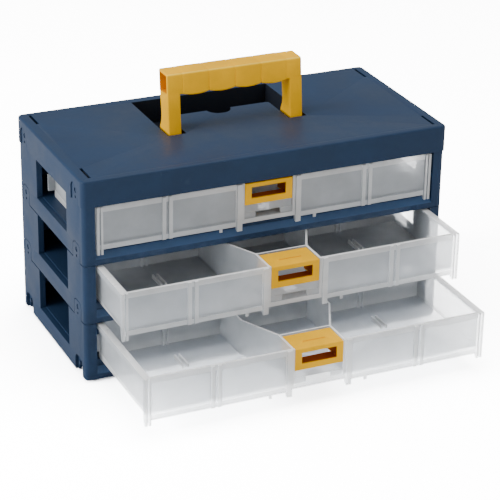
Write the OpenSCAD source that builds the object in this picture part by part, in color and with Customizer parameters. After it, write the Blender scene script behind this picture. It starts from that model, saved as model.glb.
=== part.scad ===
// Parts bin cabinet: three stacked drawer frames under a lid with a folding
// carrying handle. Each frame holds one clear drawer with a sprung pull latch.
// Millimetres. The origin is the centre of the whole cabinet's footprint as
// drawn, open drawers included, on the surface that the feet stand on. The
// front faces -Y, +X is to the right and +Z is up. The drawers are drawn as far
// out as the opening values say.

/* [Drawer frames] */
// Width of a drawer frame across its side walls
frame_w = 398; // [380:1:420]
// Depth of a drawer frame from front to back
frame_d = 193; // [186:1:215]
// Height from one frame's foot to the next one's
frame_h = 63; // [62:1:75]
// Radius of the upright corners
corner_r = 5; // [4:0.5:8]
// Thickness of the side walls
side_t = 6; // [5.5:0.5:7]
// Width of a front post's face
post_w = 12.5; // [12:0.5:16]
// Thickness of a front post's face
post_t = 4; // [3:0.5:5]
// Thickness of the back wall
back_t = 3; // [2:0.5:5]
// Height of the front rail behind its slope
rail_h = 12.6; // [11:0.2:13.2]
// Height of the front rail's upright face below its slope
rail_face = 6.4; // [5:0.2:8]
// Depth of the front rail's slope
rail_slope = 5.4; // [4:0.2:5.6]
// Thickness of the front rail
rail_t = 3; // [2:0.5:4]
// Height of the deck that the drawer slides on
deck_h = 20; // [18:0.5:22]
// Thickness of the deck
deck_t = 2.6; // [2:0.2:4]
// Gap between a closed drawer's plate and the deck's front edge
deck_gap = 0.8; // [0.5:0.1:3]
// Thickness of the ribs below the deck
rib_t = 2; // [1.2:0.2:3]
// Distance from one rib to the next
rib_pitch = 36; // [28:1:39]
// How far the foot of a frame is drawn in, as a shadow line
step_in = 0.8; // [0.4:0.2:1.6]
// Height of the drawn-in foot
step_h = 1.2; // [0.8:0.2:2]

/* [Side windows] */
// Width of the front post seen from the side
window_front = 47.5; // [42:0.5:56]
// Width of the rear post seen from the side
window_rear = 55.5; // [42:0.5:64]
// Height of the sill below the window
window_sill = 19; // [15:0.5:19.5]

/* [Stacking clips] */
// Width of the tongue that rises from each post
clip_w = 19.5; // [14:0.5:22]
// Height of the tongue
clip_h = 18.6; // [15:0.2:22]
// Thickness of the tongue
clip_t = 3; // [2:0.2:3.6]
// Radius of the tongue's top corners
clip_r = 6; // [3:0.5:6.5]
// Distance of the tongue's middle from the front or back face
clip_end = 20; // [18:0.5:24]
// Gap round a tongue in its pocket
clip_gap = 0.7; // [0.3:0.1:1]
// Diameter of the peg that holds the tongue
peg_d = 4; // [3:0.5:6]
// Height of the peg above the seam
peg_h = 12; // [11.5:0.5:13]
// Diameter of the tongue's lower hole
low_hole_d = 3; // [2:0.5:4]
// Height of the tongue's lower hole above the seam
low_hole_h = 5; // [4:0.5:6]

/* [Lid] */
// Height of the lid
lid_h = 28; // [26.5:0.5:40]
// How far the lid stands out past the frames on each side
lid_proud = 1; // [0.4:0.2:2]
// Radius of the lid's top edges
lid_edge_r = 2.4; // [1:0.2:2.4]
// Thickness of the lid's skin
lid_t = 3; // [2:0.5:4]
// Width of the slots in the lid's top
slot_w = 3; // [2.5:0.5:6]
// Length of the slots in the lid's top
slot_l = 26; // [18:1:32]
// Distance of a slot's middle from the lid's side
slot_in = 11.5; // [11:0.5:16]

/* [Handle recess] */
// Gap between a leg of the handle and the outer wall of the recess
arm_gap = 2.8; // [1.5:0.1:5]
// Gap between a leg of the handle and the raised middle
leg_gap = 3.5; // [1.5:0.1:6]
// Room for fingers behind the folded handle
finger_room = 14.5; // [12:0.5:17]
// Distance of the recess from the lid's back edge
recess_rear = 12.5; // [10:0.5:14]
// Thickness of the recess floor
recess_floor = 2; // [1.4:0.2:3]
// Length of the raised middle
plateau_l = 51; // [40:1:56]
// Radius of the finger scoop in the raised middle
scoop_r = 13.5; // [8:0.5:18]
// Radius of the raised middle's rear corners
plateau_r = 4; // [2:0.5:8]

/* [Handle] */
// Width of the handle over its legs
handle_w = 150; // [136:1:170]
// Width of one leg
leg_w = 14; // [10:0.5:15]
// Depth of the grip and legs ahead of the pivot line
handle_front = 12; // [10:0.5:12]
// Depth of the grip behind the pivot line
handle_back = 10; // [7:0.5:11]
// Height of the handle's top front edge above its pivots
handle_reach = 72.5; // [64:0.5:76]
// Height of the grip without its finger lobes
grip_h = 22; // [13:0.5:24]
// How much higher the grip's back edge is than its front edge
grip_rise = 2.2; // [0:0.2:3]
// Thickness of the grip's walls
grip_t = 2.4; // [1.6:0.2:3.4]
// Number of finger lobes below the grip
lobes = 4; // [3:1:5]
// Length of one finger lobe
lobe_l = 29; // [22:0.5:30]
// How far a lobe bulges
lobe_sag = 2; // [1:0.2:3]
// How far the handle leans back as drawn, in degrees
lean = 5.5; // [0:0.1:12]
// Distance of the pivots from the front wall of the recess
pivot_back = 15; // [14:0.5:18]
// Diameter of the handle's pivots
pivot_d = 8; // [6:0.5:10]
// Radial clearance of the pivots in the lid
pivot_play = 0.08; // [0.04:0.01:0.1]

/* [Drawers] */
// Gap between the plate's top end and the post
plate_side = 1.6; // [1.2:0.1:4]
// Slant of the plate's ends towards its foot
plate_draft = 0.6; // [0:0.1:2]
// Gap between the plate's foot and the front rail
plate_lift = 2.6; // [1.4:0.1:3.4]
// Gap between the drawer's top and the piece above
drawer_gap = 2; // [1.6:0.1:5]
// Thickness of the front plate
plate_t = 2.8; // [2.4:0.1:3]
// Depth of the plate's panels behind its frame
panel_in = 1; // [0.4:0.1:1.4]
// How far the plate's bars stand out in front of it
bar_out = 2; // [1:0.1:2.2]
// How far the closed plate stands behind the posts
plate_back = 2.6; // [2:0.1:3]
// Depth of a drawer from front to back
drawer_d = 130; // [110:1:160]
// How far the tub's side walls stand in from the plate's ends
tub_in = 3.4; // [3:0.1:6]
// Thickness of the drawer's walls and floor
wall_t = 1.8; // [1.4:0.1:2.4]
// Width of the rim along the side walls
rim_w = 7; // [4:0.5:8]
// Height of the rim's outer lip
rim_h = 5.5; // [4:0.5:8]
// How far the rim stands out from the side wall
rim_out = 3.1; // [2:0.1:3.4]
// Clearance under the drawer's floor
slide_gap = 0.3; // [0.2:0.1:0.5]
// Half width of the middle bin
bin_x = 50; // [44:1:70]
// Distance behind the front at which the middle bin is full width
bin_y = 78; // [64:1:90]
// Place of the divider slots to each side of the middle
slot_x = 111; // [90:1:120]
// Distance of the divider clips' front behind the front
slot_y = 73; // [50:1:80]
// Length of the divider clips
slot_len = 23.5; // [12:0.5:28]
// Width of a divider slot
slot_gap = 3.1; // [2:0.1:4]

/* [Pull latch] */
// Width of the latch
latch_w = 52; // [46:1:54]
// Depth of the latch
latch_d = 31; // [26:0.5:32]
// Height of the latch
latch_h = 23; // [20:0.5:24]
// How far the latch's top lies below the drawer's top
latch_drop = 1; // [0.3:0.1:1.2]
// Width of the finger window
grab_w = 38; // [30:1:40]
// Height of the finger window
grab_h = 12; // [10:0.5:13]
// Height of the bar below the finger window
grab_sill = 6.5; // [4:0.5:8]
// Depth of the latch's floor behind the finger window
latch_floor = 21; // [16:0.5:24]
// Thickness of the latch's walls
latch_t = 1.8; // [1.4:0.1:2.4]
// Gap at each side of the latch
latch_gap = 0.6; // [0.4:0.1:1]
// Room behind the latch for its swing
latch_room = 2.4; // [2.2:0.1:4]
// Height of the catch ridge on the latch
ridge_h = 1; // [0.6:0.1:1]
// Length of the catch ridge
ridge_l = 24; // [16:1:30]
// Diameter of the latch's pins
pin_d = 3; // [2:0.2:3.4]
// Distance of the pins behind the front and above the latch's foot
pin_in = 4; // [3.5:0.1:4.5]
// Radial clearance of the pins in the latch
pin_play = 0.06; // [0.03:0.01:0.1]
// Thickness of the leaf spring
leaf_t = 0.5; // [0.3:0.1:0.8]
// Width of the leaf spring
leaf_w = 12; // [8:1:16]

/* [Feet] */
// Diameter of a foot pad
foot_d = 13; // [10:0.5:14]
// Height of a foot pad
foot_h = 2.3; // [1.5:0.1:5]
// Distance of a foot's middle from the side face
foot_x = 12; // [10:0.5:14]
// Distance of a foot's middle from the front or back face
foot_y = 9.5; // [8:0.5:12]

/* [Openings as drawn] */
// How much of the middle drawer is still in its frame
held_middle = 64; // [30:0.5:130]
// How much of the lower drawer is still in its frame
held_lower = 6; // [6:0.5:130]

/* [Hidden] */
$fn = 48;

// Cuts run past the faces that they open by this much
past = 1;

// Levels of the three frames and of the lid
lower_z = foot_h;
middle_z = lower_z + frame_h;
upper_z = middle_z + frame_h;
lid_z = upper_z + frame_h;

// How far the middle and lower drawers are pulled out
open_middle = drawer_d - held_middle;
open_lower = drawer_d - held_lower;

// Front faces of the frames and of a closed drawer
front_y = -frame_d / 2;
closed_y = front_y + plate_back;

// Half width of the drawer's opening between the front posts
bay_x = frame_w / 2 - post_w;
// Half width between the side walls
inner_x = frame_w / 2 - side_t;
// How far the deck's front edge stands behind the front face
deck_setback = plate_back + plate_t + deck_gap;

// Lid outline and the handle recess in it
lid_w = frame_w + 2 * lid_proud;
lid_d = frame_d + 2 * lid_proud;
lid_r = corner_r + lid_proud / 2;
recess_w = handle_w + 2 * arm_gap;
recess_l = pivot_back + handle_reach + finger_room;
plateau_w = handle_w - 2 * leg_w - 2 * leg_gap;
recess_y1 = lid_d / 2 - recess_rear;
recess_y0 = recess_y1 - recess_l;
pivot_y = recess_y0 + pivot_back;
pivot_z = lid_z + lid_h - handle_front;
boss_l = 3.6;
boss_d = pivot_d + 6;
pivot_l = (recess_w - handle_w) / 2 + lid_t + boss_l - 1;

// How far the frames stand behind the middle of the whole as drawn
middle_y = (max(open_middle, open_lower) + bar_out - closed_y - lid_d / 2) / 2;

// Rib grids below the lid's top, clear of the pivot bosses and of the slots
grid_gap = 0.7;
grid_x0 = recess_w / 2 + lid_t + boss_l + grid_gap;
grid_x1 = lid_w / 2 - slot_in - slot_w / 2 - grid_gap;
grid_y = lid_d / 2 - lid_t;

// Catch lip under each deck and under the lid, just ahead of the latch's ridge
ridge_y = 14.5;
ridge_w = 2;
lip_t = 2;
lip_gap = 0.3;
lip_ahead = 1.2;
lip_y = closed_y + ridge_y - ridge_w / 2 - lip_t - lip_ahead;
lip_l = ridge_l + 4;
lip_hang = drawer_gap + latch_drop - ridge_h - lip_gap;

// Drawer sizes, with levels above the frame's foot
plate_w = 2 * (bay_x - plate_side);
tub_w = plate_w - 2 * tub_in;
plate_foot = rail_h + plate_lift;
drawer_top = frame_h - drawer_gap;
tub_foot = deck_h + slide_gap;
floor_z = tub_foot + wall_t;
latch_top = drawer_top - latch_drop;
latch_foot = latch_top - latch_h;
pin_y = pin_in;
pin_z = latch_foot + pin_in - 1;
pocket_x = latch_w / 2 + latch_gap;
pocket_t = 2.4;
pocket_y = latch_d + latch_room;
latch_gap_z = 0.3;

// Bars, panels and grooves of the front plate, from the latch outwards
bar_x = pocket_x + 3;
bar_w = 5.6;
bar_lap = 0.4;
rib_w = 3.9;
double_rib = 11;
end_rib_w = 2.2;
groove_in = 0.7;
panel_x0 = bar_x + bar_w + 1;
panel_x1 = slot_x - 0.7 - double_rib / 2;
panel_x2 = panel_x1 + double_rib;
panel_x3 = plate_w / 2 - 7;
end_bar_x = panel_x3 + end_rib_w + 1.5;
panel_top = 5.8;
panel_low = 5.1;
// Foot of the bars, just above the front rail's slope
bar_foot = rail_face + (rail_h - rail_face) * (plate_back + 0.6) / rail_slope + 0.5;

// Opening in the wall below the latch, and the notch under it
hatch_x = 14;
hatch_z = floor_z + 5.8;
notch_foot = plate_foot + 2.2;

// Small feet under the plate: their place and width
nub_x = 52;
nub_w = 3.2;

// Front and rear of the leaf spring behind the drawer's front
leaf_y0 = 10.2;
leaf_y1 = latch_floor - 1.5;

cabinet_blue = [0.16, 0.26, 0.38];
handle_yellow = [0.88, 0.68, 0.08];
clear_white = [0.85, 0.88, 0.9, 0.6];
steel_grey = [0.7, 0.7, 0.72];

// ---- shared shapes ----

// Rectangle with round corners, centred
module rounded_rect(w, d, r) {
    square([w - 2 * r, d], center = true);
    square([w, d - 2 * r], center = true);
    for (sx = [-1, 1], sy = [-1, 1])
        translate([sx * (w / 2 - r), sy * (d / 2 - r)]) circle(r);
}

// The same thing on both sides of the middle
module both_sides() {
    children();
    mirror([1, 0, 0]) children();
}

// The same thing at the front and at the back
module both_ends() {
    children();
    mirror([0, 1, 0]) children();
}

// Box from one corner to the other
module block(low, high) {
    translate(low) cube(high - low);
}

// Outline in depth and height, drawn across the width from x0 to x1
module across(x0, x1) {
    translate([x0, 0, 0]) rotate([90, 0, 90]) linear_extrude(x1 - x0) children();
}

// Cylinder along the width from x0 to x1
module rod(x0, x1, y, z, r) {
    translate([x0, y, z]) rotate([0, 90, 0]) cylinder(r = r, h = x1 - x0);
}

// Tongue outline with a round top, foot at zero
module tongue_outline(w, h, r) {
    translate([-w / 2, 0]) square([w, h - r]);
    translate([-w / 2 + r, 0]) square([w - 2 * r, h]);
    for (s = [-1, 1]) translate([s * (w / 2 - r), h - r]) circle(r);
}

// ---- stacking clips ----

clip_y = frame_d / 2 - clip_end;

// Tongue on top of a post, with its two holes
module tongue() {
    difference() {
        across(frame_w / 2 - clip_t, frame_w / 2)
            translate([clip_y, -past]) tongue_outline(clip_w, clip_h + past, clip_r);
        rod(inner_x, frame_w / 2 + past, clip_y, peg_h, peg_d / 2 + clip_gap);
        rod(inner_x, frame_w / 2 + past, clip_y, low_hole_h, low_hole_d / 2);
    }
}

// Room for the tongue of the piece below, open below and on the outside
module tongue_pocket(outside) {
    across(frame_w / 2 - clip_t - clip_gap / 2, outside + past)
        translate([clip_y, -past])
            tongue_outline(clip_w + 2 * clip_gap, clip_h + clip_gap + past, clip_r + clip_gap);
    block([inner_x - past, clip_y - clip_w / 2 + 2, -past],
        [frame_w / 2, clip_y + clip_w / 2 - 2, peg_h - peg_d / 2 - 1.4]);
}

// Peg in the pocket that the tongue snaps over
module peg() {
    rod(inner_x + 1, frame_w / 2 - 0.6, clip_y, peg_h, peg_d / 2);
}

// ---- drawer frame ----

// Walls in plan: side walls, front posts and back wall
module wall_plan() {
    difference() {
        rounded_rect(frame_w, frame_d, corner_r);
        translate([-inner_x, front_y + post_t])
            square([2 * inner_x, frame_d - post_t - back_t]);
        translate([-bay_x, front_y - past]) square([2 * bay_x, post_t + 2 * past]);
    }
}

// Base: a ring with a drawn-in foot and a ledge behind the front rail
module frame_base() {
    difference() {
        union() {
            linear_extrude(step_h + past)
                rounded_rect(frame_w - 2 * step_in, frame_d - 2 * step_in, corner_r - step_in);
            translate([0, 0, step_h]) linear_extrude(deck_h - step_h)
                rounded_rect(frame_w, frame_d, corner_r);
        }
        block([-inner_x, front_y + deck_setback, -past],
            [inner_x, frame_d / 2 - back_t, deck_h + past]);
        block([-inner_x, front_y + rail_t, -past],
            [inner_x, front_y + deck_setback + past, rail_face + 1]);
        across(-bay_x, bay_x) polygon([[front_y - past, rail_face], [front_y, rail_face],
            [front_y + rail_slope, rail_h], [front_y + deck_setback + past, rail_h],
            [front_y + deck_setback + past, deck_h + past], [front_y - past, deck_h + past]]);
    }
}

// Crossing ribs in the field between two corners, at most a pitch apart
module rib_field(low, high) {
    nx = ceil((high.x - low.x) / rib_pitch);
    ny = ceil((high.y - low.y) / rib_pitch);
    for (i = [0 : nx]) {
        x = low.x + i * (high.x - low.x - rib_t) / nx;
        block([x, low.y, low.z], [x + rib_t, high.y, high.z]);
    }
    for (j = [0 : ny]) {
        y = low.y + j * (high.y - low.y - rib_t) / ny;
        block([low.x, y, low.z], [high.x, y + rib_t, high.z]);
    }
}

// Seats for the foot pads in the corners of the base
module foot_seats() {
    both_sides() both_ends()
        block([frame_w / 2 - foot_x - foot_d / 2 - 1, frame_d / 2 - foot_y - foot_d / 2 - 1, 0],
            [frame_w / 2 - side_t + past / 2, frame_d / 2 - back_t + past / 2, deck_t]);
}

// Lip that holds the closed latch of the drawer below, on a wall between ribs
module catch_lip(roof) {
    block([-lip_l / 2, lip_y, -lip_hang], [lip_l / 2, lip_y + lip_t, roof]);
    block([-rib_pitch, lip_y, deck_t], [rib_pitch, lip_y + lip_t, roof]);
}

// One drawer frame with its foot at the level z
module drawer_frame(z) {
    color(cabinet_blue) translate([0, middle_y, z]) {
        difference() {
            union() {
                frame_base();
                foot_seats();
                translate([0, 0, deck_h - past]) linear_extrude(frame_h - deck_h + past) wall_plan();
                translate([0, 0, frame_h]) both_sides() both_ends() tongue();
            }
            both_sides() block([inner_x - past / 4, front_y + window_front, window_sill],
                [frame_w / 2 + past, frame_d / 2 - window_rear, frame_h + past]);
            both_sides() both_ends() tongue_pocket(frame_w / 2);
        }
        both_sides() both_ends() peg();
    }
}

module upper_frame() { drawer_frame(upper_z); }
module middle_frame() { drawer_frame(middle_z); }
module lower_frame() { drawer_frame(lower_z); }

// Ribbed deck of the frame at the level z, which rests on the foot seats
module deck(z) {
    y0 = front_y + deck_setback;
    y1 = frame_d / 2 - back_t;
    color(cabinet_blue) translate([0, middle_y, z]) {
        block([-inner_x, y0, deck_h - deck_t], [inner_x, y1, deck_h]);
        block([-inner_x, y0, deck_t], [inner_x, y0 + rail_t, deck_h - deck_t / 2]);
        rib_field([-inner_x, y0 + rail_t / 2, deck_t], [inner_x, y1, deck_h - deck_t / 2]);
        catch_lip(deck_h - deck_t / 2);
    }
}

module upper_deck() { deck(upper_z); }
module middle_deck() { deck(middle_z); }
module lower_deck() { deck(lower_z); }

// ---- lid ----

// Quarter disc in the corner of the two axes
module quarter(r) {
    intersection() {
        circle(r);
        square(r);
    }
}

// Box with round upright corners and round top edges
module rounded_top_box(w, d, h, rc, re) {
    linear_extrude(h - re) rounded_rect(w, d, rc);
    translate([0, 0, h - re]) {
        block([rc - w / 2, re - d / 2, 0], [w / 2 - rc, d / 2 - re, re]);
        block([re - w / 2, rc - d / 2, 0], [w / 2 - re, d / 2 - rc, re]);
        both_ends() translate([0, d / 2 - re, 0]) across(rc - w / 2, w / 2 - rc) quarter(re);
        both_sides() translate([w / 2 - re, d / 2 - rc, 0]) rotate([90, 0, 0])
            linear_extrude(d - 2 * rc) quarter(re);
        both_sides() both_ends() translate([w / 2 - rc, d / 2 - rc, 0]) rotate_extrude() {
            square([rc - re, re]);
            translate([rc - re, 0]) quarter(re);
        }
    }
}

// Raised middle of the recess, with its finger scoop, grown by g
module plateau_plan(g) {
    w = plateau_w + 2 * g;
    y1 = recess_y0 + plateau_l + g;
    r = plateau_r + max(g, -plateau_r / 2);
    difference() {
        union() {
            translate([-w / 2, recess_y0 - past]) square([w, y1 - recess_y0 + past - r]);
            translate([-w / 2 + r, recess_y0 - past]) square([w - 2 * r, y1 - recess_y0 + past]);
            for (s = [-1, 1]) translate([s * (w / 2 - r), y1 - r]) circle(r);
        }
        translate([0, recess_y0 + plateau_l + 1.5]) circle(scoop_r - g);
    }
}

// Trench that the handle lies in, in plan
module trench_plan() {
    difference() {
        translate([-recess_w / 2, recess_y0]) square([recess_w, recess_l]);
        plateau_plan(0);
    }
}

// Lid: skin, handle recess with its pivot bosses, clip pockets and slots
module lid() {
    color(cabinet_blue) translate([0, middle_y, lid_z]) {
        difference() {
            union() {
                difference() {
                    rounded_top_box(lid_w, lid_d, lid_h, lid_r, lid_edge_r);
                    translate([0, 0, -past]) linear_extrude(lid_h - lid_t + past)
                        square([lid_w - 2 * lid_t, lid_d - 2 * lid_t], center = true);
                }
                rib_field([-plateau_w / 2 + lid_t / 2, recess_y0 - lid_t / 2, step_h],
                    [plateau_w / 2 - lid_t / 2, recess_y0 + plateau_l - lid_t / 2, lid_h - lid_t / 2]);
                // walls and floor round the trench
                difference() {
                    block([-recess_w / 2 - lid_t, recess_y0 - lid_t, 0],
                        [recess_w / 2 + lid_t, recess_y1 + lid_t, lid_h - lid_t / 2]);
                    translate([0, 0, -past]) linear_extrude(lid_h - lid_t + past)
                        plateau_plan(-lid_t);
                }
                both_sides() rod(recess_w / 2 + lid_t / 2, recess_w / 2 + lid_t + boss_l,
                    pivot_y, pivot_z - lid_z, boss_d / 2);
                // pads behind the clip pockets
                both_sides() both_ends()
                    block([inner_x, clip_y - clip_w / 2 - 4, 0],
                        [lid_w / 2 - lid_t / 2, clip_y + clip_w / 2 + 4, clip_h + 3]);
            }
            translate([0, 0, recess_floor]) linear_extrude(lid_h) trench_plan();
            both_sides() rod(recess_w / 2 - past, recess_w / 2 + lid_t + boss_l + past,
                pivot_y, pivot_z - lid_z, pivot_d / 2 + pivot_play);
            both_sides() both_ends() tongue_pocket(lid_w / 2);
            both_sides() both_ends()
                translate([lid_w / 2 - slot_in - slot_w / 2, clip_y - slot_l / 2, lid_h - lid_t - past / 2])
                    cube([slot_w, slot_l, lid_t + past]);
        }
        both_sides() both_ends() peg();
    }
}

// Rib grids below the lid's top: ahead of the recess, and at each side of it
module lid_grid_front() {
    color(cabinet_blue) translate([0, middle_y, lid_z]) {
        rib_field([grid_gap - grid_x0, -grid_y, step_h], [grid_x0 - grid_gap, recess_y0 - lid_t, lid_h - lid_t]);
        catch_lip(lid_h - lid_t);
    }
}

module lid_grid_right() {
    color(cabinet_blue) translate([0, middle_y, lid_z])
        rib_field([grid_x0, -grid_y, step_h], [grid_x1, grid_y, lid_h - lid_t]);
}

module lid_grid_left() { mirror([1, 0, 0]) lid_grid_right(); }

// ---- handle ----

// Side view of a leg: upright front, waisted back, heel at the lid, round foot
module leg_outline() {
    polygon([[-handle_front, handle_reach], [-handle_front, -5], [-handle_front + 3, -8],
        [handle_back - 3, -8], [handle_back + 3, -2], [handle_back + 3, 13.8],
        [handle_back - 2.2, 23], [handle_back - 0.6, handle_reach - grip_h],
        [handle_back, handle_reach + grip_rise]]);
}

// Side view of the grip, whose top rises towards its back edge
module grip_side() {
    low = handle_reach - grip_h - lobe_sag - past;
    polygon([[-handle_front, handle_reach], [-handle_front, low], [handle_back, low],
        [handle_back, handle_reach + grip_rise]]);
}

// Front view of the grip between the legs, with its finger lobes
module grip_front() {
    low = handle_reach - grip_h;
    lobe_r = (lobe_l * lobe_l / 4 + lobe_sag * lobe_sag) / (2 * lobe_sag);
    translate([-handle_w / 2, low]) square([handle_w, grip_h + grip_rise]);
    intersection() {
        for (i = [0 : lobes - 1])
            translate([(i - (lobes - 1) / 2) * lobe_l, low + lobe_r - lobe_sag]) circle(lobe_r, $fn = 96);
        translate([-lobes * lobe_l / 2, low - lobe_sag - past]) square([lobes * lobe_l, lobe_sag + 2 * past]);
    }
}

// Handle upright about its pivots, which lie on the X axis
module handle_upright() {
    difference() {
        union() {
            both_sides() across(handle_w / 2 - leg_w, handle_w / 2) leg_outline();
            intersection() {
                across(-handle_w / 2, handle_w / 2) grip_side();
                translate([0, handle_back, 0]) rotate([90, 0, 0])
                    linear_extrude(handle_front + handle_back) grip_front();
            }
        }
        // the grip is a tube, open at both ends
        block([-handle_w / 2 - past, -handle_front + grip_t, handle_reach - grip_h + grip_t],
            [handle_w / 2 + past, handle_back - grip_t, handle_reach - grip_t]);
    }
    both_sides() rod(handle_w / 2 - past, handle_w / 2 + pivot_l, 0, 0, pivot_d / 2);
}

module handle() {
    color(handle_yellow) translate([0, middle_y + pivot_y, pivot_z]) rotate([-lean, 0, 0]) handle_upright();
}

// ---- drawers ----

// Front plate seen from the front, with the notch below the latch
module plate_outline() {
    half = plate_w / 2;
    foot = half - plate_draft;
    notch = bar_x + bar_lap;
    polygon([[-half, drawer_top], [-foot, plate_foot], [-notch, plate_foot],
        [-notch, notch_foot], [notch, notch_foot], [notch, plate_foot],
        [foot, plate_foot], [half, drawer_top]]);
}

// Panels and grooves that are sunk into the plate's face
module plate_relief() {
    low = plate_foot + panel_low;
    high = drawer_top - panel_top;
    block([panel_x0, -past, low], [panel_x1 + bar_lap, panel_in, high]);
    block([panel_x2 - bar_lap, -past, low], [panel_x3 + bar_lap, panel_in, high]);
    block([panel_x1 + rib_w - bar_lap, -past, low], [panel_x2 - rib_w + bar_lap, groove_in, high]);
    block([panel_x3 + end_rib_w - bar_lap, -past, low], [end_bar_x + bar_lap, groove_in, high]);
}

// Upright bar on the plate's face from x0 to x1, its foot cut to the rail's slope
module plate_bar(x0, x1, foot = bar_foot) {
    across(x0, x1) polygon([[-bar_out, drawer_top - 0.1], [-bar_out, foot], [0.6, foot],
        [plate_t - bar_lap, foot + 2.2], [plate_t - bar_lap, drawer_top - 0.1]]);
}

// Front plate, open over the latch pocket
module front_plate() {
    difference() {
        translate([0, plate_t, 0]) rotate([90, 0, 0]) linear_extrude(plate_t) plate_outline();
        both_sides() plate_relief();
        block([-pocket_x, -past, floor_z], [pocket_x, plate_t + past, drawer_top + past]);
    }
    both_sides() {
        plate_bar(bar_x, bar_x + bar_w);
        plate_bar(panel_x1, panel_x1 + rib_w, plate_foot + bar_lap);
        plate_bar(panel_x2 - rib_w, panel_x2, plate_foot + bar_lap);
        plate_bar(panel_x3, panel_x3 + end_rib_w);
        plate_bar(end_bar_x, plate_w / 2 - plate_draft - 0.1);
        // small foot under the plate's edge
        block([nub_x - nub_w / 2, 0, bar_foot + 1], [nub_x + nub_w / 2, 1.2, plate_foot + 0.3]);
    }
}

// Tub: floor, side walls and rear wall
module tub() {
    x = tub_w / 2;
    difference() {
        block([-x, plate_t / 2, tub_foot], [x, drawer_d, drawer_top]);
        block([-x + wall_t, plate_t, floor_z], [x - wall_t, drawer_d - wall_t, drawer_top + past]);
        block([-pocket_x, -past, tub_foot - past], [pocket_x, plate_t + 0.6, drawer_top + past]);
    }
}

// Rim along the side walls and across the back
module rim() {
    x = tub_w / 2 + rim_out;
    both_sides() {
        block([x - rim_w, plate_t / 2, drawer_top - wall_t], [x, drawer_d, drawer_top]);
        block([x - wall_t, plate_t / 2, drawer_top - rim_h], [x, drawer_d, drawer_top]);
    }
    block([-x, drawer_d - wall_t - 1.6, drawer_top - wall_t], [x, drawer_d, drawer_top]);
}

// Walls of the middle bin, which close in on the latch pocket
module bin_walls() {
    y1 = drawer_d - wall_t / 2;
    translate([0, 0, floor_z - wall_t / 2]) linear_extrude(drawer_top - 0.4 - floor_z + wall_t / 2)
        both_sides() polygon([[pocket_x, plate_t / 2], [pocket_x + pocket_t, plate_t / 2],
            [pocket_x + pocket_t, pocket_y + 0.6], [bin_x, bin_y], [bin_x, y1], [bin_x - wall_t, y1],
            [bin_x - wall_t, bin_y + 0.4], [pocket_x + 0.6, pocket_y + wall_t], [pocket_x, pocket_y + wall_t]]);
    block([-pocket_x - past, pocket_y, floor_z - wall_t / 2],
        [pocket_x + past, pocket_y + wall_t, drawer_top - 0.4]);
}

// Set-back wall below the latch, with a lug at each side of its opening
module pocket_front() {
    high = latch_foot - latch_gap_z;
    y = plate_t + 0.6;
    block([-pocket_x - past, 1.6, hatch_z], [pocket_x + past, y, high]);
    both_sides() block([hatch_x, 0.8, floor_z - past / 2], [pocket_x + past, y, hatch_z + past / 2]);
    block([-pocket_x - past, plate_t / 2, tub_foot], [pocket_x + past, y + past / 2, floor_z]);
}

// Clips on the floor and slots in the rear wall for loose dividers
module divider_slots() {
    y1 = drawer_d - wall_t / 2;
    for (s = [-1, 1]) {
        x = slot_x + s * (slot_gap + wall_t) / 2;
        both_sides() {
            block([x - wall_t / 2, slot_y, floor_z - wall_t / 2], [x + wall_t / 2, slot_y + slot_len, floor_z + 4]);
            block([x - wall_t / 2, y1 - 4, floor_z - wall_t / 2], [x + wall_t / 2, y1, drawer_top - 3]);
            block([x - wall_t / 2, plate_t - 0.4, floor_z - wall_t / 2],
                [x + wall_t / 2, plate_t + 3, drawer_top - 3]);
        }
    }
}

// Nubs at the rear that meet the front posts when the drawer is all out
module stop_nubs() {
    both_sides() block([tub_w / 2 - wall_t / 2, drawer_d - 2.6, tub_foot + 8],
        [bay_x + 2.4, drawer_d, tub_foot + 26]);
}

// Low rails that hold the leaf spring on the floor of the latch pocket
module leaf_rails() {
    both_sides() block([leaf_w / 2 + 0.4, leaf_y0 + 1.8, floor_z - wall_t / 2],
        [leaf_w / 2 + 1.8, leaf_y1 - 1, floor_z + 2]);
}

// One drawer in the frame at the level z, pulled out by open
module drawer(z, open) {
    color(clear_white) translate([0, middle_y + closed_y - open, z]) difference() {
        union() {
            front_plate();
            tub();
            rim();
            bin_walls();
            pocket_front();
            divider_slots();
            stop_nubs();
            leaf_rails();
        }
        both_sides() rod(pocket_x - past, pocket_x + pocket_t + past, pin_y, pin_z, pin_d / 2 + 0.02);
    }
}

module upper_drawer() { drawer(upper_z, 0); }
module middle_drawer() { drawer(middle_z, open_middle); }
module lower_drawer() { drawer(lower_z, open_lower); }

// ---- pull latch ----

// Latch: a box open at the back, with a finger window and a catch ridge
module latch(z, open) {
    half = latch_w / 2;
    color(handle_yellow) translate([0, middle_y + closed_y - open, z]) difference() {
        union() {
            difference() {
                block([-half, 0, latch_foot], [half, latch_d, latch_top]);
                block([-half + latch_t, latch_t, latch_foot + latch_t],
                    [half - latch_t, latch_d + past, latch_top - latch_t]);
                block([-half + latch_t, latch_floor, latch_foot - past],
                    [half - latch_t, latch_d + past, latch_foot + latch_t + past]);
            }
            both_sides() rod(half - latch_t - 2.2, half - latch_t / 2, pin_y, pin_z, pin_d / 2 + 1.4);
            across(-ridge_l / 2, ridge_l / 2)
                polygon([[ridge_y - ridge_w / 2, latch_top - 0.2], [ridge_y - ridge_w / 2, latch_top + ridge_h],
                    [ridge_y, latch_top + ridge_h], [ridge_y + ridge_w, latch_top - 0.2]]);
        }
        block([-grab_w / 2, -past, latch_foot + grab_sill],
            [grab_w / 2, latch_t + past, latch_foot + grab_sill + grab_h]);
        both_sides() rod(half - latch_t - 2.2 - past, half + past, pin_y, pin_z, pin_d / 2 + pin_play);
    }
}

module upper_latch() { latch(upper_z, 0); }
module middle_latch() { latch(middle_z, open_middle); }
module lower_latch() { latch(lower_z, open_lower); }

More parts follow.
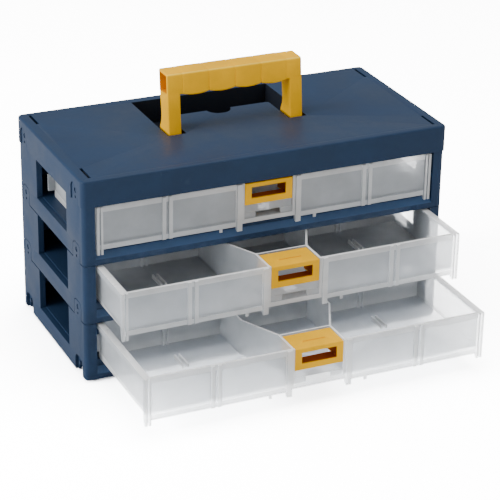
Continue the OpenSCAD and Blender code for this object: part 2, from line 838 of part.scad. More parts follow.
// The two steel pins that a latch swings on
module latch_pins(z, open) {
    color(steel_grey) translate([0, middle_y + closed_y - open, z])
        both_sides() rod(latch_w / 2 - latch_t - 1.6, pocket_x + pocket_t - 0.2, pin_y, pin_z, pin_d / 2);
}

module upper_latch_pins() { latch_pins(upper_z, 0); }
module middle_latch_pins() { latch_pins(middle_z, open_middle); }
module lower_latch_pins() { latch_pins(lower_z, open_lower); }

// Leaf spring: a strip folded back on itself, which lifts the latch's rear
module latch_spring(z, open) {
    low = floor_z + 0.1;
    high = latch_foot - 0.15;
    color(steel_grey) translate([0, middle_y + closed_y - open, z]) across(-leaf_w / 2, leaf_w / 2)
        polygon([[leaf_y1, low], [leaf_y0 + 1.8, low], [leaf_y0, low + 1.4], [leaf_y0, low + 2.6],
            [leaf_y0 + 1.2, low + 4], [leaf_y1 - 3, high - leaf_t], [leaf_y1, high],
            [leaf_y1 + 0.6, high - 0.6 * leaf_t], [leaf_y1 - 2.7, high - 2.1 * leaf_t],
            [leaf_y0 + 1.7, low + 3.6], [leaf_y0 + 0.7, low + 2.4], [leaf_y0 + 0.7, low + 1.7],
            [leaf_y0 + 2.1, low + leaf_t], [leaf_y1, low + leaf_t]]);
}

module upper_latch_spring() { latch_spring(upper_z, 0); }
module middle_latch_spring() { latch_spring(middle_z, open_middle); }
module lower_latch_spring() { latch_spring(lower_z, open_lower); }

// ---- feet ----

// Foot pad at the side sx and the end sy
module foot(sx, sy) {
    color(clear_white)
        translate([sx * (frame_w / 2 - foot_x), middle_y + sy * (frame_d / 2 - foot_y), 0])
            cylinder(d = foot_d, h = foot_h);
}

module foot_front_left() { foot(-1, -1); }
module foot_front_right() { foot(1, -1); }
module foot_rear_left() { foot(-1, 1); }
module foot_rear_right() { foot(1, 1); }

lid();
lid_grid_front();
lid_grid_left();
lid_grid_right();
handle();
upper_frame();
middle_frame();
lower_frame();
upper_deck();
middle_deck();
lower_deck();
upper_drawer();
middle_drawer();
lower_drawer();
upper_latch();
middle_latch();
lower_latch();
upper_latch_pins();
middle_latch_pins();
lower_latch_pins();
upper_latch_spring();
middle_latch_spring();
lower_latch_spring();
foot_front_left();
foot_front_right();
foot_rear_left();
foot_rear_right();
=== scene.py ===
"""Parts bin cabinet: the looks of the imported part, built round its fixed frame."""

import logging
import math
from dataclasses import dataclass
from enum import Enum
from typing import Callable, ClassVar, Protocol, Sequence

import bmesh
import bpy
from mathutils import Matrix, Vector


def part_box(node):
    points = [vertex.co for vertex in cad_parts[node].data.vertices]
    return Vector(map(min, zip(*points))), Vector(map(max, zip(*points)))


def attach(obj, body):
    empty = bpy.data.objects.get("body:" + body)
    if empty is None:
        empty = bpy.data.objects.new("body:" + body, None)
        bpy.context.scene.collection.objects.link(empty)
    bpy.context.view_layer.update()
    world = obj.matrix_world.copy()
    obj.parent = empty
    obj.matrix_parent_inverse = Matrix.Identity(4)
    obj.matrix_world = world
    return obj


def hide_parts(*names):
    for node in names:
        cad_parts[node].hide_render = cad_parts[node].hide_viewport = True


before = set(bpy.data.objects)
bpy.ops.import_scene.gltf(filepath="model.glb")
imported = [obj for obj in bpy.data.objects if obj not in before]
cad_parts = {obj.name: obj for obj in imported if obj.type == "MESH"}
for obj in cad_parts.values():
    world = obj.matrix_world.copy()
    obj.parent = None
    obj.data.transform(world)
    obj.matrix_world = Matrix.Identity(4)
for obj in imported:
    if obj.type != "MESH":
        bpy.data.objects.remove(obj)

Point2 = tuple[float, float]
Point3 = tuple[float, float, float]
Colour = tuple[float, float, float]
Piece = bpy.types.Object
Face = bpy.types.MeshPolygon
Draft = bmesh.types.BMesh
Material = bpy.types.Material
Node = bpy.types.Node
Socket = bpy.types.NodeSocket
Tree = bpy.types.NodeTree

LOG = logging.getLogger("parts_cabinet")
MM = 0.001
# Edges that bend more than this many degrees stay sharp, and are rounded
SHARP_DEG = 32.0
# Facets of a CAD mesh that bend less than this many degrees are merged
FLAT_DEG = 0.6
# Points that lie closer than this, in metres, are one: on CAD meshes and on joined ones
CAD_WELD = 2e-6
JOINED_WELD = 5e-6
# The modifier that rounds a piece's edges, and its segments across an edge
EDGE_ROUND = "edge_round"
EDGE_SEGMENTS = 2
# A face points along an axis when this much of its normal does
FACING = 0.9
# A Light Path depth below this means that there was no such bounce yet
NO_BOUNCE = 0.5
# The colour sockets of a Mix node: its factor, its two colours and its result
MIX_FACTOR, MIX_LOW, MIX_HIGH, MIX_RESULT = 0, 6, 7, 2
# The two sets of streaks in a scuffed skin: turn in radians, and stretch along each axis
STREAKS = ((0.5, (900.0, 26.0, 60.0)), (-0.9, (40.0, 1100.0, 45.0)))
# How much of its turn about Z a set of streaks also has about Y
STREAK_LEAN = 0.4


class Level(Enum):
    """The three drawer levels, with the height of each frame's foot in mm."""

    UPPER = 128.3
    MIDDLE = 65.3
    LOWER = 2.3

    @property
    def word(self) -> str:
        """The level's name as the nodes spell it."""
        return self.name.lower()


class Side(Enum):
    """Left and right of the cabinet, seen from its front."""

    LEFT = -1
    RIGHT = 1


# ---- mesh tools


def link(mesh: bpy.types.Mesh, name: str) -> Piece:
    """Puts a mesh into the scene as an object.

    Args:
        mesh: The mesh, in metres.
        name: The object's name.

    Returns:
        The new object.
    """
    mesh.name = name
    obj = bpy.data.objects.new(name, mesh)
    bpy.context.scene.collection.objects.link(obj)
    return obj


def solid(bm: Draft, name: str) -> Piece:
    """Turns a mesh under construction into an object.

    Args:
        bm: The mesh under construction, which is freed.
        name: The object's name.

    Returns:
        The new object.
    """
    mesh = bpy.data.meshes.new(name)
    bm.to_mesh(mesh)
    bm.free()
    return link(mesh, name)


def mark_edges(bm: Draft, sharp_deg: float) -> None:
    """Shades faces smooth and marks the edges that bend more than an angle.

    Args:
        bm: The mesh under construction.
        sharp_deg: Edges that bend more than this many degrees stay sharp.
    """
    limit = math.radians(sharp_deg)
    for face in bm.faces:
        face.smooth = True
    for edge in bm.edges:
        edge.smooth = len(edge.link_faces) == 2 and edge.calc_face_angle(math.pi) < limit


def round_edges(piece: Piece, width_mm: float) -> None:
    """Rounds a piece's sharp edges with a bevel that keeps its flats flat.

    Args:
        piece: The piece.
        width_mm: Width of the rounding.
    """
    bevel = piece.modifiers.new(EDGE_ROUND, "BEVEL")
    bevel.width = width_mm * MM
    bevel.segments = EDGE_SEGMENTS
    bevel.limit_method = "ANGLE"
    bevel.angle_limit = math.radians(SHARP_DEG)
    bevel.harden_normals = True
    bevel.use_clamp_overlap = True
    bevel.miter_outer = "MITER_ARC"


def copy_of(node: str, name: str) -> Piece:
    """Copies a CAD node's mesh into a new piece, with its flats merged and cut anew.

    Args:
        node: The CAD node.
        name: The new piece's name.

    Returns:
        The new object, at the node's place.
    """
    bm = bmesh.new()
    bm.from_mesh(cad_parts[node].data)
    bmesh.ops.remove_doubles(bm, verts=bm.verts, dist=CAD_WELD)
    bmesh.ops.dissolve_limit(
        bm, angle_limit=math.radians(FLAT_DEG), verts=bm.verts, edges=bm.edges
    )
    bmesh.ops.triangulate(bm, faces=bm.faces, quad_method="BEAUTY", ngon_method="BEAUTY")
    mark_edges(bm, SHARP_DEG)
    return solid(bm, name)


def rounded_outline(
    corners: Sequence[Point2], radii: Sequence[float], steps: int = 4
) -> list[Point2]:
    """Draws a closed outline with round corners.

    Args:
        corners: The outline's corners.
        radii: How far from each corner its rounding starts.
        steps: Segments in each corner.

    Returns:
        The outline's points.
    """
    points = []
    for i, (corner, radius) in enumerate(zip(corners, radii)):
        here = Vector(corner)
        before = here + (Vector(corners[i - 1]) - here).normalized() * radius
        after = here + (Vector(corners[(i + 1) % len(corners)]) - here).normalized() * radius
        for k in range(steps + 1):
            t = k / steps
            point = (1 - t) ** 2 * before + 2 * t * (1 - t) * here + t * t * after
            points.append((point.x, point.y))
    return points


def loft(rings: Sequence[Sequence[Point3]], close: bool = False) -> Draft:
    """Skins a row of rings with the same number of points.

    Args:
        rings: The rings, in mm.
        close: Whether the last ring joins the first one; otherwise the ends are capped.

    Returns:
        The mesh, in metres.
    """
    bm = bmesh.new()
    rows = [[bm.verts.new(Vector(point) * MM) for point in ring] for ring in rings]
    count = len(rows[0])
    pairs = zip(rows, rows[1:] + rows[:1]) if close else zip(rows, rows[1:])
    for first, second in pairs:
        for i in range(count):
            j = (i + 1) % count
            bm.faces.new((first[i], first[j], second[j], second[i]))
    if not close:
        bm.faces.new(list(reversed(rows[0])))
        bm.faces.new(rows[-1])
    bmesh.ops.recalc_face_normals(bm, faces=bm.faces)
    return bm


def joined(base: Piece, others: Sequence[Piece]) -> Piece:
    """Joins solids to another one, and removes them.

    Args:
        base: The solid that is kept.
        others: The solids that are joined to it.

    Returns:
        The kept solid.
    """
    for other in others:
        change = base.modifiers.new("join", "BOOLEAN")
        change.operation = "UNION"
        change.solver = "EXACT"
        change.object = other
    bpy.context.view_layer.update()
    whole = base.evaluated_get(bpy.context.evaluated_depsgraph_get())
    mesh = bpy.data.meshes.new_from_object(whole)
    base.modifiers.clear()
    base.data = mesh
    for other in others:
        bpy.data.objects.remove(other, do_unlink=True)
    return base


def settle(piece: Piece, sharp_deg: float) -> None:
    """Cleans a joined mesh and marks its sharp edges.

    Args:
        piece: The piece.
        sharp_deg: Edges that bend more than this many degrees stay sharp.
    """
    bm = bmesh.new()
    bm.from_mesh(piece.data)
    bmesh.ops.remove_doubles(bm, verts=bm.verts, dist=JOINED_WELD)
    bmesh.ops.dissolve_degenerate(bm, edges=bm.edges, dist=JOINED_WELD)
    mark_edges(bm, sharp_deg)
    bm.to_mesh(piece.data)
    bm.free()


# ---- node groups


class Graph:
    """A small helper that adds nodes and wires to a node tree."""

    def __init__(self, tree: Tree) -> None:
        """Starts on an existing tree."""
        self.tree = tree

    def add(self, kind: str, **values: object) -> Node:
        """Adds a node and sets its properties or its inputs by name.

        Args:
            kind: The node's bl_idname.
            **values: Properties in lower case, or inputs with their spaces as underscores.

        Returns:
            The new node.
        """
        node = self.tree.nodes.new(kind)
        for key, value in values.items():
            if hasattr(node, key):
                setattr(node, key, value)
            else:
                node.inputs[key.replace("_", " ")].default_value = value
        return node

    def wire(self, source: Socket, target: Socket) -> None:
        """Joins an output to an input."""
        self.tree.links.new(source, target)

    def place(self) -> Socket:
        """Adds the place on the piece, in metres from its own origin."""
        return self.add("ShaderNodeTexCoord").outputs["Object"]

    def at(self, kind: str, place: Socket, **values: object) -> Node:
        """Adds a node that reads a place.

        Args:
            kind: The node's bl_idname.
            place: The place.
            **values: Properties and inputs, as add takes them.

        Returns:
            The new node.
        """
        node = self.add(kind, **values)
        self.wire(place, node.inputs["Vector"])
        return node

    def maths(self, operation: str, first: Socket, second: Socket, clamp: bool = False) -> Socket:
        """Combines two numbers.

        Args:
            operation: The Math node's operation.
            first: The first number.
            second: The second number.
            clamp: Whether the result is held between 0 and 1.

        Returns:
            The result's socket.
        """
        node = self.add("ShaderNodeMath", operation=operation, use_clamp=clamp)
        self.wire(first, node.inputs[0])
        self.wire(second, node.inputs[1])
        return node.outputs[0]

    def step(self, value: Socket, low: float, high: float) -> Socket:
        """Turns a number into a soft mask.

        Args:
            value: The number.
            low: The number up to which the mask is 0.
            high: The number from which it is 1.

        Returns:
            The mask's socket.
        """
        node = self.add(
            "ShaderNodeMapRange", interpolation_type="SMOOTHSTEP", From_Min=low, From_Max=high
        )
        self.wire(value, node.inputs["Value"])
        return node.outputs["Result"]

    def blend(self, low: float, high: float, factor: Socket) -> Socket:
        """Mixes two numbers by a mask.

        Args:
            low: The value where the mask is 0.
            high: The value where the mask is 1.
            factor: The mask.

        Returns:
            The mixed value's socket.
        """
        node = self.add("ShaderNodeMapRange", To_Min=low, To_Max=high)
        self.wire(factor, node.inputs["Value"])
        return node.outputs["Result"]


def new_group(
    name: str, inputs: dict[str, float], outputs: Sequence[str]
) -> tuple[Graph, Node, Node]:
    """Starts a shader node group with number sockets.

    Args:
        name: The group's name.
        inputs: Each input's name and default.
        outputs: The outputs' names.

    Returns:
        The graph, its input node and its output node.
    """
    tree = bpy.data.node_groups.new(name, "ShaderNodeTree")
    kind = "NodeSocketFloat"
    for key, value in inputs.items():
        socket = tree.interface.new_socket(key, in_out="INPUT", socket_type=kind)
        socket.default_value = value
    for key in outputs:
        tree.interface.new_socket(key, in_out="OUTPUT", socket_type=kind)
    graph = Graph(tree)
    return graph, graph.add("NodeGroupInput"), graph.add("NodeGroupOutput")


def grain_group() -> Tree:
    """Builds the moulded grain: a fine leather-like skin and a broad mottle.

    Returns:
        The group, with Size (grains per metre) and Patch (patches of mottle per metre) as
        inputs, and Height and Mottle as outputs.
    """
    inputs = {"Size": 900.0, "Patch": 22.0}
    g, start, end = new_group("moulded_grain", inputs, ("Height", "Mottle"))
    place = g.place()
    cells = g.at("ShaderNodeTexVoronoi", place, feature="SMOOTH_F1", Smoothness=0.6)
    skin = g.at("ShaderNodeTexNoise", place, Detail=3.0, Roughness=0.6)
    for texture in (cells, skin):
        g.wire(start.outputs["Size"], texture.inputs["Scale"])
    height = g.maths("ADD", cells.outputs["Distance"], skin.outputs["Fac"])
    g.wire(height, end.inputs["Height"])
    patch = g.at("ShaderNodeTexNoise", place, Detail=4.0, Roughness=0.55)
    g.wire(start.outputs["Patch"], patch.inputs["Scale"])
    g.wire(g.step(patch.outputs["Fac"], 0.3, 0.7), end.inputs["Mottle"])
    return g.tree


def scuff_group() -> Tree:
    """Builds fine scuffs and rubbed streaks, as handling leaves on plastic.

    Returns:
        The group, with Amount as input and Mask as output.
    """
    g, start, end = new_group("handling_scuffs", {"Amount": 0.5}, ("Mask",))
    place = g.place()
    masks = []
    for turn, stretch in STREAKS:
        turned = (0.0, turn * STREAK_LEAN, turn)
        lay = g.at("ShaderNodeMapping", place, Rotation=turned, Scale=stretch).outputs["Vector"]
        streak = g.at("ShaderNodeTexNoise", lay, Scale=1.0, Detail=2.0, Roughness=0.5)
        masks.append(g.step(streak.outputs["Fac"], 0.66, 0.82))
    both = g.maths("MAXIMUM", *masks)
    area = g.at("ShaderNodeTexNoise", place, Scale=14.0, Detail=2.0)
    kept = g.maths("MULTIPLY", both, g.step(area.outputs["Fac"], 0.42, 0.68))
    g.wire(g.maths("MULTIPLY", kept, start.outputs["Amount"], clamp=True), end.inputs["Mask"])
    return g.tree


def dust_group() -> Tree:
    """Builds a thin settling of dust on what faces up.

    Returns:
        The group, with Amount as input and Mask as output.
    """
    g, start, end = new_group("settled_dust", {"Amount": 0.3}, ("Mask",))
    split = g.add("ShaderNodeSeparateXYZ")
    g.wire(g.add("ShaderNodeNewGeometry").outputs["Normal"], split.inputs[0])
    drift = g.at("ShaderNodeTexNoise", g.place(), Scale=60.0, Detail=6.0, Roughness=0.7)
    lying = g.maths("MULTIPLY", g.step(split.outputs["Z"], 0.55, 1.0), drift.outputs["Fac"])
    g.wire(g.maths("MULTIPLY", lying, start.outputs["Amount"], clamp=True), end.inputs["Mask"])
    return g.tree


class Effects:
    """The shader node groups that several finishes share, each built once."""

    _made: ClassVar[dict[str, Tree]] = {}

    @classmethod
    def place(cls, g: Graph, maker: Callable[[], Tree], **values: float) -> Node:
        """Puts a shared group into a material.

        Args:
            g: The material's graph.
            maker: The function that builds the group.
            **values: The group's inputs.

        Returns:
            The group node.
        """
        if maker.__name__ not in cls._made:
            cls._made[maker.__name__] = maker()
        node = g.add("ShaderNodeGroup", node_tree=cls._made[maker.__name__])
        for key, value in values.items():
            node.inputs[key].default_value = value
        return node


# ---- finishes


def start_material(name: str) -> tuple[Material, Graph, Node]:
    """Starts a node material.

    Args:
        name: The material's name.

    Returns:
        The material, its graph and its Principled BSDF.
    """
    material = bpy.data.materials.new(name)
    material.use_nodes = True
    return material, Graph(material.node_tree), material.node_tree.nodes["Principled BSDF"]


def tint(g: Graph, low: Colour, high: Colour, factor: Socket) -> Socket:
    """Mixes two colours by a mask.

    Args:
        g: The material's graph.
        low: The colour where the mask is 0.
        high: The colour where the mask is 1.
        factor: The mask.

    Returns:
        The mixed colour's socket.
    """
    mix = g.add("ShaderNodeMix", data_type="RGBA")
    g.wire(factor, mix.inputs[MIX_FACTOR])
    mix.inputs[MIX_LOW].default_value = (*low, 1.0)
    mix.inputs[MIX_HIGH].default_value = (*high, 1.0)
    return mix.outputs[MIX_RESULT]


def tint_over(g: Graph, under: Socket, over: Colour, factor: Socket) -> Socket:
    """Lays a colour over another one by a mask.

    Args:
        g: The material's graph.
        under: The colour below.
        over: The colour where the mask is 1.
        factor: The mask.

    Returns:
        The mixed colour's socket.
    """
    out = tint(g, over, over, factor)
    g.wire(under, out.node.inputs[MIX_LOW])
    return out


def emboss(g: Graph, shader: Node, height: Socket, strength: float, depth: float) -> None:
    """Lets a height lean a shader's normal.

    Args:
        g: The material's graph.
        shader: The material's Principled BSDF.
        height: The height.
        strength: Strength of the bump.
        depth: How deep a height of 1 is, in metres.
    """
    bump = g.add("ShaderNodeBump", Strength=strength, Distance=depth)
    g.wire(height, bump.inputs["Height"])
    g.wire(bump.outputs["Normal"], shader.inputs["Normal"])


@dataclass(frozen=True)
class MouldedPlastic:
    """Opaque moulded plastic with a fine grain, mottle, scuffs and dust.

    Attributes:
        name: The material's name.
        base: The plastic's colour, linear.
        rubbed: Its colour where it is rubbed or dusty, linear.
        gloss: Roughness of the clean skin.
        dull: Roughness where it is mottled.
        grain: Strength of the grain's bump.
        size: Grains per metre.
        scuffs: Amount of scuffs.
        dust: Amount of dust.
        shine: Specular level of the plastic.
        mottle: How bright the colour is where the mottle is thin, and where it is thick.
        depth: Depth of the grain, in metres.
    """

    name: str
    base: Colour
    rubbed: Colour
    gloss: float
    dull: float
    grain: float
    size: float = 900.0
    scuffs: float = 0.5
    dust: float = 0.3
    shine: float = 0.2
    mottle: Point2 = (0.9, 1.08)
    depth: float = 0.00012

    def material(self) -> Material:
        """Builds the material.

        Returns:
            The node material.
        """
        material, g, shader = start_material(self.name)
        grain = Effects.place(g, grain_group, Size=self.size)
        scuffs = Effects.place(g, scuff_group, Amount=self.scuffs)
        dust = Effects.place(g, dust_group, Amount=self.dust)
        mottle = grain.outputs["Mottle"]
        thin, thick = (tuple(c * share for c in self.base) for share in self.mottle)
        colour = tint(g, thin, thick, mottle)
        for marks in (scuffs, dust):
            colour = tint_over(g, colour, self.rubbed, marks.outputs["Mask"])
        g.wire(colour, shader.inputs["Base Color"])
        g.wire(g.blend(self.gloss, self.dull, mottle), shader.inputs["Roughness"])
        emboss(g, shader, grain.outputs["Height"], self.grain, self.depth)
        shader.inputs["Specular IOR Level"].default_value = self.shine
        return material


@dataclass(frozen=True)
class FrostedPlastic:
    """Milky see-through plastic, as thick as its alpha says.

    Attributes:
        name: The material's name.
        base: The haze's colour, linear.
        haze: How much of what lies behind one face hides.
        cloud: How much more it hides where the haze is thick.
        gloss: Roughness of the face.
        passing: Share of the light that is passed on, scattered.
        pale: How much brighter the haze is where it is thick.
        uneven: How much rougher the face is there.
        marks: Colour of the scuffs, linear.
        scuffs: Amount of scuffs.
        cover: How much more a scuff hides.
        grain: Strength of the grain's bump.
        depth: Depth of the grain, in metres.
        size: Grains per metre.
        patch: Patches of haze per metre.
        index: Refractive index.
    """

    name: str
    base: Colour
    haze: float
    cloud: float
    gloss: float
    passing: float
    pale: float = 1.05
    uneven: float = 0.1
    marks: Colour = (0.93, 0.94, 0.95)
    scuffs: float = 0.35
    cover: float = 0.12
    grain: float = 0.12
    depth: float = 0.0001
    size: float = 1400.0
    patch: float = 30.0
    index: float = 1.46

    def material(self) -> Material:
        """Builds the material.

        Returns:
            The node material.
        """
        material, g, shader = start_material(self.name)
        grain = Effects.place(g, grain_group, Size=self.size, Patch=self.patch)
        scuffs = Effects.place(g, scuff_group, Amount=self.scuffs)
        mottle, mask = grain.outputs["Mottle"], scuffs.outputs["Mask"]
        thick = tuple(min(1.0, c * self.pale) for c in self.base)
        colour = tint_over(g, tint(g, self.base, thick, mottle), self.marks, mask)
        g.wire(colour, shader.inputs["Base Color"])
        clean = g.add("ShaderNodeMath", operation="MULTIPLY_ADD")
        clean.inputs[1].default_value = self.cloud
        clean.inputs[2].default_value = self.haze
        g.wire(mottle, clean.inputs[0])
        marked = g.add("ShaderNodeMath", operation="MULTIPLY_ADD", use_clamp=True)
        marked.inputs[1].default_value = self.cover
        g.wire(mask, marked.inputs[0])
        g.wire(clean.outputs[0], marked.inputs[2])
        g.wire(marked.outputs[0], shader.inputs["Alpha"])
        g.wire(g.blend(self.gloss, self.gloss + self.uneven, mottle), shader.inputs["Roughness"])
        shader.inputs["Transmission Weight"].default_value = self.passing
        shader.inputs["IOR"].default_value = self.index
        emboss(g, shader, grain.outputs["Height"], self.grain, self.depth)
        return material


@dataclass(frozen=True)
class SpringSteel:
    """Drawn and rolled steel with fine lengthwise lines.

    Attributes:
        name: The material's name.
        dark: Colour between the lines, linear.
        bright: Colour on them, linear.
        gloss: Roughness between the lines.
        dull: Roughness on them.
        lines: Lines per metre along each axis.
    """

    name: str = "drawn_steel"
    dark: Colour = (0.42, 0.43, 0.45)
    bright: Colour = (0.62, 0.63, 0.65)
    gloss: float = 0.22
    dull: float = 0.42
    lines: Point3 = (60.0, 2600.0, 2600.0)

    def material(self) -> Material:
        """Builds the material.

        Returns:
            The node material.
        """
        material, g, shader = start_material(self.name)
        lay = g.at("ShaderNodeMapping", g.place(), Scale=self.lines).outputs["Vector"]
        lines = g.at("ShaderNodeTexNoise", lay, Scale=1.0, Detail=3.0).outputs["Fac"]
        g.wire(tint(g, self.dark, self.bright, lines), shader.inputs["Base Color"])
        g.wire(g.blend(self.gloss, self.dull, lines), shader.inputs["Roughness"])
        shader.inputs["Metallic"].default_value = 1.0
        return material


class Finish(Enum):
    """Every finish on the cabinet."""

    NAVY = MouldedPlastic(
        "navy_moulded", base=(0.013, 0.034, 0.080), rubbed=(0.05, 0.08, 0.14),
        gloss=0.42, dull=0.52, grain=0.22, scuffs=0.35, dust=0.12,
    )
    # Painted highlight: a paler, glossier navy for the rounded edges, standing in for the light
    # they catch.
    NAVY_HIGHLIGHT = MouldedPlastic(
        "navy_moulded_painted_highlight", base=(0.045, 0.085, 0.15), rubbed=(0.08, 0.12, 0.19),
        gloss=0.34, dull=0.44, grain=0.12, scuffs=0.3, dust=0.1, shine=0.4,
    )
    # Painted light: a paler navy for the front rails' sloping brows, standing in for the light
    # that falls on them.
    NAVY_LIT_SLOPE = MouldedPlastic(
        "navy_moulded_painted_lit_slope", base=(0.026, 0.066, 0.15), rubbed=(0.06, 0.1, 0.17),
        gloss=0.4, dull=0.5, grain=0.2, scuffs=0.35, dust=0.1, shine=0.3,
    )
    # Painted shade: a near-black navy lining the handle recess, standing in for the shade inside
    # it.
    NAVY_SHADE = MouldedPlastic(
        "navy_moulded_painted_recess_shade", base=(0.008, 0.011, 0.019), rubbed=(0.02, 0.03, 0.05),
        gloss=0.5, dull=0.62, grain=0.25, scuffs=0.2, dust=0.05,
    )
    YELLOW = MouldedPlastic(
        "yellow_moulded", base=(0.97, 0.50, 0.001), rubbed=(0.98, 0.58, 0.01),
        gloss=0.45, dull=0.55, grain=0.14, size=1200.0, scuffs=0.25, dust=0.03, shine=0.08,
    )
    # Painted highlight: a paler yellow for rounded edges, standing in for the light they catch.
    YELLOW_HIGHLIGHT = MouldedPlastic(
        "yellow_moulded_painted_highlight", base=(1.0, 0.62, 0.02), rubbed=(1.0, 0.66, 0.05),
        gloss=0.3, dull=0.4, grain=0.08, size=1200.0, scuffs=0.1, dust=0.0, shine=0.4,
    )
    # Painted shade: a dark orange-yellow for the inside of the latches, standing in for the shade
    # there.
    YELLOW_SHADE = MouldedPlastic(
        "yellow_moulded_inside", base=(0.55, 0.13, 0.004), rubbed=(0.6, 0.18, 0.01),
        gloss=0.5, dull=0.6, grain=0.14, size=1200.0, scuffs=0.1, dust=0.0, shine=0.05,
    )
    # Painted shade: a deeper orange-yellow lining the hollow grip, standing in for the shade
    # inside it.
    GLOW = MouldedPlastic(
        "yellow_moulded_tube", base=(1.0, 0.42, 0.001), rubbed=(1.0, 0.46, 0.01),
        gloss=0.5, dull=0.6, grain=0.14, size=1200.0, scuffs=0.1, dust=0.0, shine=0.05,
    )
    FROST = FrostedPlastic(
        "frosted_wall", base=(0.80, 0.84, 0.88), haze=0.44, cloud=0.06, gloss=0.38, passing=0.4,
    )
    FROST_BAR = FrostedPlastic(
        "frosted_wall_bar", base=(0.92, 0.93, 0.93), haze=0.66, cloud=0.06, gloss=0.3,
        passing=0.25,
    )
    # Rim tops: denser haze for plastic seen end-on. Rounded edges: a whiter colour that is a
    # painted highlight for the light they catch.
    FROST_RIM_AND_HIGHLIGHT = FrostedPlastic(
        "frosted_wall_edge", base=(0.97, 0.97, 0.97), haze=0.88, cloud=0.05, gloss=0.25,
        passing=0.05,
    )
    PAD = FrostedPlastic(
        "milky_pad", base=(0.8, 0.81, 0.82), haze=0.85, cloud=0.05, gloss=0.5, passing=0.1,
    )
    STEEL = SpringSteel()

    @property
    def material(self) -> Material:
        """The finish's material, built once.

        Returns:
            The node material.
        """
        if self not in MADE:
            MADE[self] = self.value.material()
        return MADE[self]


# The materials built so far
MADE: dict[Finish, Material] = {}


# ---- pieces


def dress(
    piece: Piece,
    finishes: Sequence[Finish],
    look: Callable[[Face], Finish] | None = None,
    edges: Finish | None = None,
) -> None:
    """Gives a piece its finishes.

    Args:
        piece: The piece.
        finishes: The finishes, in the order of the piece's material slots.
        look: Says which finish a face has; without it every face has the first one.
        edges: The rounded edges' finish; without it they take that of the face beside them.
    """
    piece.data.materials.clear()
    for finish in finishes:
        piece.data.materials.append(finish.material)
    if look:
        for face in piece.data.polygons:
            face.material_index = finishes.index(look(face))
    if edges:
        piece.modifiers[EDGE_ROUND].material = finishes.index(edges)


def enrol(piece: Piece, body: str, node: str) -> None:
    """Makes a piece ride on a body and stand for a node, whose CAD mesh it hides.

    Args:
        piece: The piece.
        body: The body.
        node: The CAD node that it replaces.
    """
    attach(piece, body)
    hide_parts(node)


def softened(node: str, body: str, width_mm: float) -> Piece:
    """Replaces a CAD node by a copy whose edges are rounded.

    Args:
        node: The CAD node.
        body: The body that it rides on.
        width_mm: Width of the edge rounding.

    Returns:
        The new piece.
    """
    piece = copy_of(node, node + "_moulding")
    round_edges(piece, width_mm)
    enrol(piece, body, node)
    return piece


# ---- sub-assemblies

LOW_LID, HIGH_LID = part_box("lid")
# How far the frames stand behind the origin, in mm
BACK = (LOW_LID.y + HIGH_LID.y) / 2 / MM


class SubAssembly(Protocol):
    """What every sub-assembly can do."""

    def build(self) -> list[Piece]:
        """Builds and dresses its pieces."""
        ...


@dataclass
class Lid:
    """The lid: its shell with the handle recess, and the rib grids below.

    Attributes:
        edge: Width of the edge rounding, in mm, like every size here.
        shell: The shell's node.
        grids: The rib grids' nodes.
        recess_x: Half of the recess's width.
        recess_y: The recess's front and rear, from the middle of the lid.
        plateau_x: Half the width of the plateau that stands in the recess.
        plateau_y: The plateau's rear.
        slack: How far outside these lines the middle of a face may lie.
        foot: How far above the shell's foot the recess's faces start.
        brim: How far below its top they end.
    """

    edge: float = 0.45
    shell: str = "lid"
    grids: tuple[str, ...] = ("lid_grid_front", "lid_grid_left", "lid_grid_right")
    recess_x: float = 77.8
    recess_y: Point2 = (-17.0, 85.0)
    plateau_x: float = 57.5
    plateau_y: float = 34.0
    slack: float = 1.0
    foot: float = 1.5
    brim: float = 0.3

    def build(self) -> list[Piece]:
        """Builds and dresses the lid's pieces.

        Returns:
            The pieces.
        """
        shell = softened(self.shell, "cabinet", self.edge)
        finishes = (Finish.NAVY, Finish.NAVY_SHADE, Finish.NAVY_HIGHLIGHT)
        # The recess gets painted shade and the rounded edges a painted highlight.
        dress(shell, finishes, self._look, Finish.NAVY_HIGHLIGHT)
        grids = [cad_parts[name] for name in self.grids]
        for grid in grids:
            dress(grid, (Finish.NAVY,))
        return [shell, *grids]

    def _look(self, face: Face) -> Finish:
        """Which finish a face of the shell has.

        Args:
            face: The face.

        Returns:
            The darker finish, painted shade, for what lines the handle recess, or else the lid's.
        """
        x, y, z = (c / MM for c in face.center)
        y -= BACK
        low, high = self.recess_y
        inside = abs(x) < self.recess_x + self.slack and low - self.slack < y < high + self.slack
        over = abs(x) < self.plateau_x + self.slack and y < self.plateau_y + self.slack
        plateau = over and face.normal.z > FACING
        sunk = LOW_LID.z / MM + self.foot < z < HIGH_LID.z / MM - self.brim
        # The recess's lining gets painted shade.
        return Finish.NAVY_SHADE if inside and sunk and not plateau else Finish.NAVY


